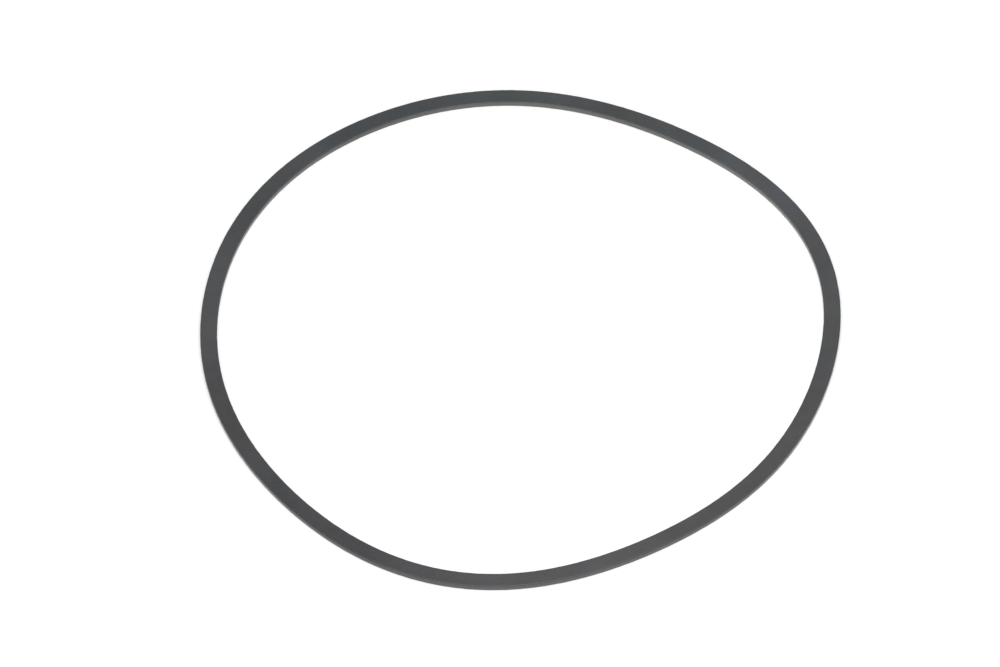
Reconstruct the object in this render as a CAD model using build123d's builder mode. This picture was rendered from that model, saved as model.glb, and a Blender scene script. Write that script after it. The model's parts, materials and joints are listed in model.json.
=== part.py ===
from build123d import *
import os
from math import cos, hypot, pi, radians, sin

# Backup ring: one closed loop of hard rubber with a flat rectangular section.
# It is shown free of its groove, lying slack on its underside, where the loop
# is no longer a true circle but still has the length of the round ring.
# Millimetres. +Z is the ring's axis. The origin is under the middle of the
# loop, level with the underside.

os.makedirs("parts", exist_ok=True)

# Driving dimensions of the ring
inside_diameter = 165.0  # of the ring held round in its groove
radial_width = 4.65  # of the section, from the inner side to the outer side
axial_thickness = 1.7  # of the section, from the underside to the top
edge_radius = 0.35  # on the four long edges of the section

# How the slack loop leaves the circle: each wave swells the loop by so many
# millimetres at each of its lobes, and its first lobe points in a direction
# in degrees, counted from +X towards +Y
oval_swell = 0.92  # two lobes
oval_direction = 54.1
egg_swell = 1.72  # three lobes
egg_direction = 14.2
square_swell = 0.48  # four lobes
square_direction = 2.1
five_lobe_swell = 0.38
five_lobe_direction = 32.5
six_lobe_swell = 0.35
six_lobe_direction = 22.3

# Worked out from the dimensions above
mean_diameter = inside_diameter + radial_width
ring_length = pi * mean_diameter
edge_fillet = min(edge_radius, 0.45 * axial_thickness, 0.45 * radial_width)
waves = {
    2: (oval_swell, oval_direction),
    3: (egg_swell, egg_direction),
    4: (square_swell, square_direction),
    5: (five_lobe_swell, five_lobe_direction),
    6: (six_lobe_swell, six_lobe_direction),
}
outline_points = 36  # six to each lobe of the shortest wave


def slack_outline(outward, stretch, middle):
    """Points of the loop's centreline, moved outward along its normal.

    The centreline is radius = mean radius + the sum of swell * cos(lobes * turn),
    all of it times stretch. The points are counted from the loop's middle."""
    points = []
    for step in range(outline_points):
        angle = 2 * pi * step / outline_points
        radius = mean_diameter / 2
        slope = 0.0
        for lobes, (swell, direction) in waves.items():
            turn = lobes * (angle - radians(direction))
            radius += swell * cos(turn)
            slope -= swell * lobes * sin(turn)
        radius *= stretch
        slope *= stretch
        # The loop's direction at this point, and its normal a quarter turn from it
        along_x = slope * cos(angle) - radius * sin(angle)
        along_y = slope * sin(angle) + radius * cos(angle)
        along = hypot(along_x, along_y)
        x = radius * cos(angle) + outward * along_y / along
        y = radius * sin(angle) - outward * along_x / along
        points.append((x - middle.X, y - middle.Y))
    return points


# The slack loop is drawn in or let out until it is as long as the round ring
free_loop = Edge.make_spline(slack_outline(0, 1, Vector(0, 0)), periodic=True)
loop_stretch = ring_length / free_loop.length

# The loop's middle is the middle of its outer outline's box
outer_loop = Edge.make_spline(
    slack_outline(radial_width / 2, loop_stretch, Vector(0, 0)), periodic=True
)
loop_middle = outer_loop.bounding_box().center()

# The ring: the slack loop's outline between its inner and outer sides, given
# its thickness, with every long edge rounded
with BuildPart() as backup_ring:
    with BuildSketch(Plane.XY):
        with BuildLine():
            Spline(slack_outline(radial_width / 2, loop_stretch, loop_middle), periodic=True)
        make_face()
        with BuildLine():
            Spline(slack_outline(-radial_width / 2, loop_stretch, loop_middle), periodic=True)
        make_face(mode=Mode.SUBTRACT)
    extrude(amount=axial_thickness)
    underside_edges = backup_ring.edges().group_by(Axis.Z)[0]
    top_edges = backup_ring.edges().group_by(Axis.Z)[-1]
    fillet(underside_edges + top_edges, radius=edge_fillet)

backup_ring.part.label = "backup_ring"
export_step(backup_ring.part, "parts/backup_ring.step")
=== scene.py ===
import json
import math
import bpy
import numpy as np
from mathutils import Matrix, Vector

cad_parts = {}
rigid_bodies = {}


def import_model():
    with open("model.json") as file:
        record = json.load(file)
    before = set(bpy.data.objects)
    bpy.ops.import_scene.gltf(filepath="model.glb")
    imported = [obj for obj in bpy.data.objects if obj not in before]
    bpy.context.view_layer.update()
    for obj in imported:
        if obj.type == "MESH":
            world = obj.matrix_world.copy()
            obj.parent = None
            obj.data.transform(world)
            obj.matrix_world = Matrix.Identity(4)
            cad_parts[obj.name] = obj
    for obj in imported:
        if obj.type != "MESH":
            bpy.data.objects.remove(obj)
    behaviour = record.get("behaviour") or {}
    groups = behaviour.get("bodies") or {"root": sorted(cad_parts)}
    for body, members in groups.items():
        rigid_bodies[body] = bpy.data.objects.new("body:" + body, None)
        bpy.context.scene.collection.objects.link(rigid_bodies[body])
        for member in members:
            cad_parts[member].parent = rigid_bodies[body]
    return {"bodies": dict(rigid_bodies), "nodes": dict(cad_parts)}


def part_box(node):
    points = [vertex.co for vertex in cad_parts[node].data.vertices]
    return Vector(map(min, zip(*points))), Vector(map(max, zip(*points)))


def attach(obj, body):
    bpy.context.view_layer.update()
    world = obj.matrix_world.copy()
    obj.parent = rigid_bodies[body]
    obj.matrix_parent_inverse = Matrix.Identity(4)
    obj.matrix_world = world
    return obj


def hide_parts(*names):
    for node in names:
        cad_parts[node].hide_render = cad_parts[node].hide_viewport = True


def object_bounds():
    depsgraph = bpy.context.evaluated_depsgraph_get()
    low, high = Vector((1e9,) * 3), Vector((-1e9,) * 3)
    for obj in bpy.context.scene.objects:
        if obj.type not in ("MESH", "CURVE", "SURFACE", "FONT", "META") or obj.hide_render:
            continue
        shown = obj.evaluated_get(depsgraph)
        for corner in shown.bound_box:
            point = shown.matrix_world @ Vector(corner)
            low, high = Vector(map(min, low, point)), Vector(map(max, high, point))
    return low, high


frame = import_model()
cadLow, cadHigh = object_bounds()
bodyName = next(iter(frame["bodies"]))  # one piece, so one body
print("frame loaded:", ", ".join(frame["nodes"]))

# the ring: lengths in metres, directions in degrees from +X towards +Y
ring = {
    "meanRadius": 0.084825,  # of the ring held round
    "radialWidth": 0.00465,
    "edgeRadius": 0.00035,
    "waves": {  # of the slack loop: how many lobes, then how far each swells and where the first one points
        2: (0.00092, 54.1),
        3: (0.00172, 14.2),
        4: (0.00048, 2.1),
        5: (0.00038, 32.5),
        6: (0.00035, 22.3),
    },
    "sink": 0.00003,  # how far each wide face draws in at its middle as the rubber cures
    "trim": 0.00001,  # how far the trimmed sides wander in and out
    "trimLobes": (61, 83, 109, 137, 173, 211),  # the waves of that wander, counted round the ring
    "trimSeed": 7,
    "stepsRound": 1400,
    "stepsAcross": 14,  # over the top, and again over the underside
    "stepsUp": 5,  # over each side
    "stepsEdge": 5,  # round each long edge
}


def slackLoop(turn, values):
    # radius = mean radius + sum of swell * cos(lobes * (turn - direction)); slope is its change with turn
    radius = np.full_like(turn, values["meanRadius"])
    slope = np.zeros_like(turn)
    for lobes, (swell, direction) in values["waves"].items():
        phase = lobes * (turn - math.radians(direction))
        radius += swell * np.cos(phase)
        slope -= swell * lobes * np.sin(phase)
    alongX = slope * np.cos(turn) - radius * np.sin(turn)
    alongY = slope * np.sin(turn) + radius * np.cos(turn)
    along = np.hypot(alongX, alongY)
    # the centreline, and its outward normal: the direction along the loop turned back by a quarter
    return radius * np.cos(turn), radius * np.sin(turn), alongY / along, -alongX / along


def roundedSection(width, thickness, edge, values):
    # a rectangle with rounded edges, anticlockwise from the middle of the underside: how far out and how
    # high each point is, and its lean: 0 on a wide face, 1 on a side, |cos| of the turn on an edge between
    halfFlat = width / 2 - edge
    halfWall = thickness / 2 - edge
    under = np.linspace(0, halfFlat, values["stepsAcross"] // 2 + 1)[:-1]
    across = np.linspace(halfFlat, -halfFlat, values["stepsAcross"] + 1)[1:-1]
    up = np.linspace(-halfWall, halfWall, values["stepsUp"] + 1)[1:-1]
    quarter = np.linspace(0, math.pi / 2, values["stepsEdge"] + 1)

    def face(out, high, lean):
        # the points of one face, where a single number holds for all of them
        return np.stack(np.broadcast_arrays(out, high, lean))

    def roundEdge(middleOut, middleUp, start):
        # middle + edge radius * (cos, sin), over a quarter turn from start
        turned = start + quarter
        out = middleOut + edge * np.cos(turned)
        high = middleUp + edge * np.sin(turned)
        return np.stack([out, high, np.abs(np.cos(turned))])

    # a wide face is half the thickness - sink * (1 - (out / half flat)^2) from the middle
    sunkUnder = thickness / 2 - values["sink"] * (1 - (under / halfFlat) ** 2)
    sunkAcross = thickness / 2 - values["sink"] * (1 - (across / halfFlat) ** 2)
    out, high, lean = np.concatenate([
        face(under, -sunkUnder, 0),
        roundEdge(halfFlat, -halfWall, -math.pi / 2),
        face(width / 2, up, 1),
        roundEdge(halfFlat, halfWall, 0),
        face(across, sunkAcross, 0),
        roundEdge(-halfFlat, halfWall, math.pi / 2),
        face(-width / 2, -up, 1),
        roundEdge(-halfFlat, -halfWall, math.pi),
        face(-under[:0:-1], -sunkUnder[:0:-1], 0),
    ], axis=1)
    return out, high + thickness / 2, lean


def trimWander(turn, values):
    # for each side: trim * sum of cos(lobes * turn + chance phase) / square root of half the wave count
    chance = np.random.default_rng(values["trimSeed"])
    lobes = np.array(values["trimLobes"])
    phases = chance.uniform(0, 2 * math.pi, (2, len(lobes)))
    waves = np.cos(turn[:, None, None] * lobes + phases)
    return values["trim"] * waves.sum(axis=2).T / math.sqrt(len(lobes) / 2)


def closedGrid(name, points):
    # each row of points is one section, and the rows follow one another round the ring; a four-sided face
    # joins each point to the next in its row and the next row, and the last ones to the first
    rows, columns = points.shape[:2]
    here = np.arange(rows * columns).reshape(rows, columns)
    nextRow = np.roll(here, -1, axis=0)
    quads = np.stack([here, nextRow, np.roll(nextRow, -1, axis=1), np.roll(here, -1, axis=1)], axis=-1)
    mesh = bpy.data.meshes.new(name)
    mesh.vertices.add(rows * columns)
    mesh.vertices.foreach_set("co", points.reshape(-1).astype(np.float32))
    mesh.loops.add(quads.size)
    mesh.loops.foreach_set("vertex_index", quads.reshape(-1).astype(np.int32))
    mesh.polygons.add(quads.size // 4)
    mesh.polygons.foreach_set("loop_start", np.arange(0, quads.size, 4, dtype=np.int32))
    mesh.update(calc_edges=True)
    mesh.validate()
    mesh.shade_smooth()
    return mesh


def fitted(places, low, high):
    # low + (place - least place) * wanted length / own length
    return low + (places - places.min()) * (high - low) / np.ptp(places)


def storeValue(mesh, name, numbers):
    # one number for each point of the mesh, for its material to read
    attribute = mesh.attributes.new(name, "FLOAT", "POINT")
    attribute.data.foreach_set("value", numbers.reshape(-1).astype(np.float32))


def makeRing(values):
    # loop * stretch + outward * its normal, at the section's height, fitted to the frame's box;
    # outward = the section's own * (1 + that side's wander / half width)
    width = values["radialWidth"]
    low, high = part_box("backup_ring")
    turn = np.linspace(0, 2 * math.pi, values["stepsRound"], endpoint=False)
    loopX, loopY, normalX, normalY = slackLoop(turn, values)
    # the box is as long as the loop and half a width of rubber at each end
    stretch = (high[0] - low[0] - width) / np.ptp(loopX)
    out, height, lean = roundedSection(width, high[2] - low[2], values["edgeRadius"], values)
    outerWander, innerWander = trimWander(turn, values)
    wander = np.where(out > 0, outerWander[:, None], innerWander[:, None])
    outward = out * (1 + wander * 2 / width)
    x = fitted(stretch * loopX[:, None] + normalX[:, None] * outward, low[0], high[0])
    y = fitted(stretch * loopY[:, None] + normalY[:, None] * outward, low[1], high[1])
    z = np.broadcast_to(fitted(height, low[2], high[2]), x.shape)
    mesh = closedGrid("backupRing", np.stack([x, y, z], axis=-1))
    side = np.broadcast_to(lean ** 2, x.shape)
    storeValue(mesh, "side", side * np.sign(out))  # 1 on the outer side, -1 on the inner side
    storeValue(mesh, "edge", 4 * side * (1 - side))  # 1 along the middle of each rounded edge
    piece = bpy.data.objects.new("backupRing", mesh)
    bpy.context.scene.collection.objects.link(piece)
    return piece


ringPiece = makeRing(ring)
print("ring made:", len(ringPiece.data.polygons), "faces")

# the rubber: a pattern's size is how wide its broadest clouds are, in metres; its detail is how many finer
# layers it adds to them; its fineness is how strong each layer is beside the one before; its shift moves it
# over the ring
rubber = {
    # the clouds are random tone, shifted so that they also paint sheen and shade: stretches of the wide
    # faces lighter or darker round the ring
    "clouds": {"size": 0.1, "detail": 6, "fineness": 0.7, "shift": (-0.63, 0.04, 0.58)},
    "patches": {"size": 0.07, "detail": 5, "fineness": 0.6, "shift": (-0.37, -0.05, 0.32)},
    "drift": {"size": 0.118, "detail": 5, "fineness": 0.5, "shift": (0.521, -0.599, -0.894)},
    "tint": {"size": 0.118, "detail": 6, "fineness": 0.6, "shift": (-0.403, -0.796, 0.54)},
    "grain": {"size": 0.00035, "detail": 2, "fineness": 0.5},
    "rubs": {"size": 0.0012, "detail": 3, "fineness": 0.5},
    "peel": {"size": 0.0025, "detail": 1, "fineness": 0.5},
    "cool": (0.0640, 0.0727, 0.0781, 1),  # the wide faces drift from this colour to the next: a painted cast of light, cooler in some stretches and warmer in others
    "warm": (0.0725, 0.0702, 0.0717, 1),
    "driftRange": (0.35, 0.59),  # of the drift pattern, from cool to warm
    # the sides are paler than the wide faces as the trimmed finish; the inner side is lighter than the
    # outer one as painted light
    "innerSide": (0.122, 0.122, 0.116, 1),
    "outerSide": (0.098, 0.099, 0.095, 1),
    "worn": (0.125, 0.127, 0.128, 1),  # of the spots where an edge is rubbed
    "wornRange": (0.60, 0.70),  # of the rubs pattern, from sound to worn
    "cloudAndSheenStrength": 0.77,  # the most that the clouds make the colour lighter or darker, as a share of it: partly random tone, partly painted sheen and shade
    "patchStrength": 0.32,
    "grainStrength": 0.25,
    "edgeShadeStrength": 0.20,  # how much darker the rounded edges are: painted shade, laid over the highlight they would catch
    "tintRange": (0.32, 0.65),  # of the tint pattern
    "tintGreen": (0.955, 1.022),  # what the colour's green is multiplied by at the two ends of that range
    "cloudRange": (0.3, 0.7),  # of the clouds pattern
    "roughness": (0.42, 0.54),  # of the wide faces, at the two ends of that range
    "sideSmoother": 0.2,  # how much less rough the sides are
    "specular": 0.5,
    "peelHeight": 0.00008,
    "grainHeight": 0.00002,
}


def setInput(tree, socket, value):
    # the value is another node's output, or the socket's own setting
    if isinstance(value, bpy.types.NodeSocket):
        tree.links.new(value, socket)
    else:
        socket.default_value = value


def addNode(tree, kind, inputs=None, **settings):
    # the inputs go to its sockets by name or number, and the settings to the node itself
    node = tree.nodes.new(kind)
    for name, value in settings.items():
        setattr(node, name, value)
    for name, value in (inputs or {}).items():
        setInput(tree, node.inputs[name], value)
    return node


def addPattern(tree, place, pattern):
    # soft clouds, about 0.5 on average: a sum of layers of noise at place + shift, each of them half as
    # wide as the one before
    if "shift" in pattern:
        moveInputs = {"Vector": place, "Location": pattern["shift"]}
        place = addNode(tree, "ShaderNodeMapping", moveInputs).outputs["Vector"]
    noiseInputs = {
        "Vector": place,
        "Scale": 1 / pattern["size"],
        "Detail": pattern["detail"],
        "Roughness": pattern["fineness"],
    }
    return addNode(tree, "ShaderNodeTexNoise", noiseInputs).outputs["Fac"]


def addRange(tree, value, fromLow, fromHigh, toLow, toHigh):
    # value moved in a straight line from one range to another, and held at its ends
    inputs = {"Value": value, "From Min": fromLow, "From Max": fromHigh, "To Min": toLow, "To Max": toHigh}
    return addNode(tree, "ShaderNodeMapRange", inputs).outputs["Result"]


def addSwing(tree, pattern, strength):
    # 1 + strength * 2 * (pattern - 0.5)
    return addRange(tree, pattern, 0, 1, 1 - strength, 1 + strength)


def addMath(tree, operation, first, second=0):
    return addNode(tree, "ShaderNodeMath", {0: first, 1: second}, operation=operation).outputs[0]


def addMix(tree, share, first, second, blend="MIX"):
    # first * (1 - share) + second * share, with the share held between 0 and 1; the node has a socket for
    # each kind of data, and its colours are inputs 6 and 7 and output 2
    colourInputs = {0: share, 6: first, 7: second}
    return addNode(tree, "ShaderNodeMix", colourInputs, data_type="RGBA", blend_type=blend).outputs[2]


def makeRubber(values):
    # colour = body * tone: the body drifts from cool to warm on the wide faces, a painted cast of light,
    # and is paler on the sides (the inner side more, as painted light) and at the worn spots of the edges;
    # tone = clouds * patches * grain * edges, times the tint for green: the clouds are partly painted sheen
    # and shade, the edges painted shade
    material = bpy.data.materials.new("ringRubber")
    material.use_nodes = True
    tree = material.node_tree
    shader = tree.nodes["Principled BSDF"]
    place = addNode(tree, "ShaderNodeTexCoord").outputs["Object"]
    names = ("clouds", "patches", "drift", "tint", "grain", "rubs", "peel")
    patterns = [addPattern(tree, place, values[name]) for name in names]
    clouds, patches, drift, tint, grain, rubs, peel = patterns
    side = addNode(tree, "ShaderNodeAttribute", attribute_name="side").outputs["Fac"]
    inner = addMath(tree, "MULTIPLY", side, -1)
    edge = addNode(tree, "ShaderNodeAttribute", attribute_name="edge").outputs["Fac"]

    # body: side is below 0 on the inner side and inner on the outer one, and a mix holds such a share at 0
    # the drift from cool to warm is a painted cast of light on the wide faces
    warmth = addRange(tree, drift, *values["driftRange"], 0, 1)
    face = addMix(tree, warmth, values["cool"], values["warm"])
    # the inner side's extra lightness over the outer side is painted light
    faceAndInner = addMix(tree, inner, face, values["innerSide"])
    unworn = addMix(tree, side, faceAndInner, values["outerSide"])
    rubbed = addMath(tree, "MULTIPLY", edge, addRange(tree, rubs, *values["wornRange"], 0, 1))
    body = addMix(tree, rubbed, unworn, values["worn"])

    # tone: the edges' part of it is painted shade, 1 - edge strength * edge
    # the clouds' swing is partly random tone and partly painted sheen and shade
    cloudAndSheenTone = addSwing(tree, clouds, values["cloudAndSheenStrength"])
    patchTone = addSwing(tree, patches, values["patchStrength"])
    grainTone = addSwing(tree, grain, values["grainStrength"])
    edgeShadeTone = addRange(tree, edge, 0, 1, 1, 1 - values["edgeShadeStrength"])
    tone = addMath(tree, "MULTIPLY", addMath(tree, "MULTIPLY", cloudAndSheenTone, patchTone), grainTone)
    tone = addMath(tree, "MULTIPLY", tone, edgeShadeTone)
    greenness = addRange(tree, tint, *values["tintRange"], *values["tintGreen"])
    greenTone = addMath(tree, "MULTIPLY", tone, greenness)
    toneColour = addNode(tree, "ShaderNodeCombineColor", {0: tone, 1: greenTone, 2: tone}).outputs[0]
    setInput(tree, shader.inputs["Base Color"], addMix(tree, 1.0, body, toneColour, "MULTIPLY"))

    # gloss
    faceRoughness = addRange(tree, clouds, *values["cloudRange"], *values["roughness"])
    smoother = addMath(tree, "MULTIPLY", addMath(tree, "ABSOLUTE", side), values["sideSmoother"])
    setInput(tree, shader.inputs["Roughness"], addMath(tree, "SUBTRACT", faceRoughness, smoother))
    setInput(tree, shader.inputs["Specular IOR Level"], values["specular"])

    # relief: broad peel first, and the fine grain on it
    broad = addNode(tree, "ShaderNodeBump", {"Height": peel, "Distance": values["peelHeight"]})
    fineInputs = {"Height": grain, "Distance": values["grainHeight"], "Normal": broad.outputs[0]}
    fine = addNode(tree, "ShaderNodeBump", fineInputs)
    setInput(tree, shader.inputs["Normal"], fine.outputs[0])
    return material


ringPiece.data.materials.append(makeRubber(rubber))
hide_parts("backup_ring")
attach(ringPiece, bodyName)
print("rubber made")

# the paper that the ring lies on, in metres
paper = {
    "size": 30.0,
    "gap": 0.00001,  # to the ring, whose underside would otherwise share its plane
    "bounce": 0.85,  # how much of its light goes on to the ring
    "seenShade": 0.65,  # the part of what is seen that the ring's shadow darkens
    "seenGlow": 0.50,  # the part that it doesn't, round the ring, from where this grows to 1
    "glowGrows": (0.15, 0.60),  # between these distances from the middle
}


def grey(level):
    # as much red, green and blue, and opaque
    return (level, level, level, 1)


def makePaper(values):
    # seen directly, in a gloss or through glass: shade * light + glow; for all other light: bounce * light;
    # the glow grows away from the middle, where the lamps fade, so the paper stays white
    half = values["size"] / 2
    corners = [(-half, -half, 0), (half, -half, 0), (half, half, 0), (-half, half, 0)]
    mesh = bpy.data.meshes.new("paper")
    mesh.from_pydata(corners, [], [(0, 1, 2, 3)])
    floor = bpy.data.objects.new("paper", mesh)
    floor.location.z = cadLow[2] - values["gap"]
    bpy.context.scene.collection.objects.link(floor)
    material = bpy.data.materials.new("whitePaper")
    material.use_nodes = True
    tree = material.node_tree
    tree.nodes.clear()
    place = addNode(tree, "ShaderNodeTexCoord").outputs["Object"]
    distance = addNode(tree, "ShaderNodeVectorMath", {0: place}, operation="LENGTH").outputs["Value"]
    strength = addRange(tree, distance, *values["glowGrows"], values["seenGlow"], 1)
    glow = addNode(tree, "ShaderNodeEmission", {"Strength": strength}).outputs[0]
    shade = addNode(tree, "ShaderNodeBsdfDiffuse", {"Color": grey(values["seenShade"])}).outputs[0]
    bounce = addNode(tree, "ShaderNodeBsdfDiffuse", {"Color": grey(values["bounce"])}).outputs[0]
    seen = addNode(tree, "ShaderNodeAddShader", {0: shade, 1: glow}).outputs[0]
    rays = addNode(tree, "ShaderNodeLightPath").outputs
    seenRay = addMath(tree, "MAXIMUM", rays["Is Camera Ray"], rays["Is Glossy Ray"])
    seenRay = addMath(tree, "MAXIMUM", seenRay, rays["Is Transmission Ray"])
    both = addNode(tree, "ShaderNodeMixShader", {0: seenRay, 1: bounce, 2: seen}).outputs[0]
    addNode(tree, "ShaderNodeOutputMaterial", {"Surface": both})
    mesh.materials.append(material)


makePaper(paper)

# the studio: places and sizes in metres, powers in watts
studio = {
    "skyStrength": 0.32,
    "keyFrom": (-0.45, -0.75, 0.55),
    "keySize": 0.7,
    "keyPower": 2.4,
    "topFrom": (0.06, -0.12, 0.5),
    "topSize": 0.4,
    "topPower": 1.65,
}


def makeSky(values):
    # white where the camera sees it, and white * sky strength for all other light
    world = bpy.data.worlds.new("studio")
    bpy.context.scene.world = world
    world.use_nodes = True
    tree = world.node_tree
    tree.nodes.clear()
    lightInputs = {"Color": grey(1), "Strength": values["skyStrength"]}
    light = addNode(tree, "ShaderNodeBackground", lightInputs).outputs[0]
    white = addNode(tree, "ShaderNodeBackground", {"Color": grey(1)}).outputs[0]
    seenRay = addNode(tree, "ShaderNodeLightPath").outputs["Is Camera Ray"]
    both = addNode(tree, "ShaderNodeMixShader", {0: seenRay, 1: light, 2: white}).outputs[0]
    addNode(tree, "ShaderNodeOutputWorld", {"Surface": both})


def makeLamp(name, place, size, power):
    # a soft square lamp that points at the origin
    lamp = bpy.data.lights.new(name, "AREA")
    lamp.energy = power
    lamp.size = size
    piece = bpy.data.objects.new(name, lamp)
    piece.location = place
    piece.rotation_euler = (-Vector(place)).to_track_quat("-Z", "Y").to_euler()
    piece.visible_camera = False
    bpy.context.scene.collection.objects.link(piece)


makeSky(studio)
makeLamp("keyLight", studio["keyFrom"], studio["keySize"], studio["keyPower"])
makeLamp("topLight", studio["topFrom"], studio["topSize"], studio["topPower"])

# the view: the elevation in degrees, the rest in metres
view = {
    "elevation": 50.0,
    "distance": 4.31,
    "ringShare": 0.6408,  # of the picture's width
    "aimAt": (-0.0056, 0.0019, 0.0),
    "farthest": 100.0,  # that the camera sees
}


def makeCamera(values):
    # place = aim + distance * (0, -cos elevation, sin elevation);
    # lens = sensor width * distance * share of the picture / the ring's width
    camera = bpy.data.objects.new("camera", bpy.data.cameras.new("camera"))
    tilt = math.radians(values["elevation"])
    back = Vector((0, -math.cos(tilt), math.sin(tilt)))
    camera.location = Vector(values["aimAt"]) + back * values["distance"]
    camera.rotation_euler = (-back).to_track_quat("-Z", "Y").to_euler()
    share = values["ringShare"] / (cadHigh[0] - cadLow[0])
    camera.data.lens = camera.data.sensor_width * values["distance"] * share
    camera.data.clip_end = values["farthest"]
    bpy.context.scene.collection.objects.link(camera)
    bpy.context.scene.camera = camera


makeCamera(view)
bpy.context.scene.view_settings.view_transform = "Standard"
print("studio made")
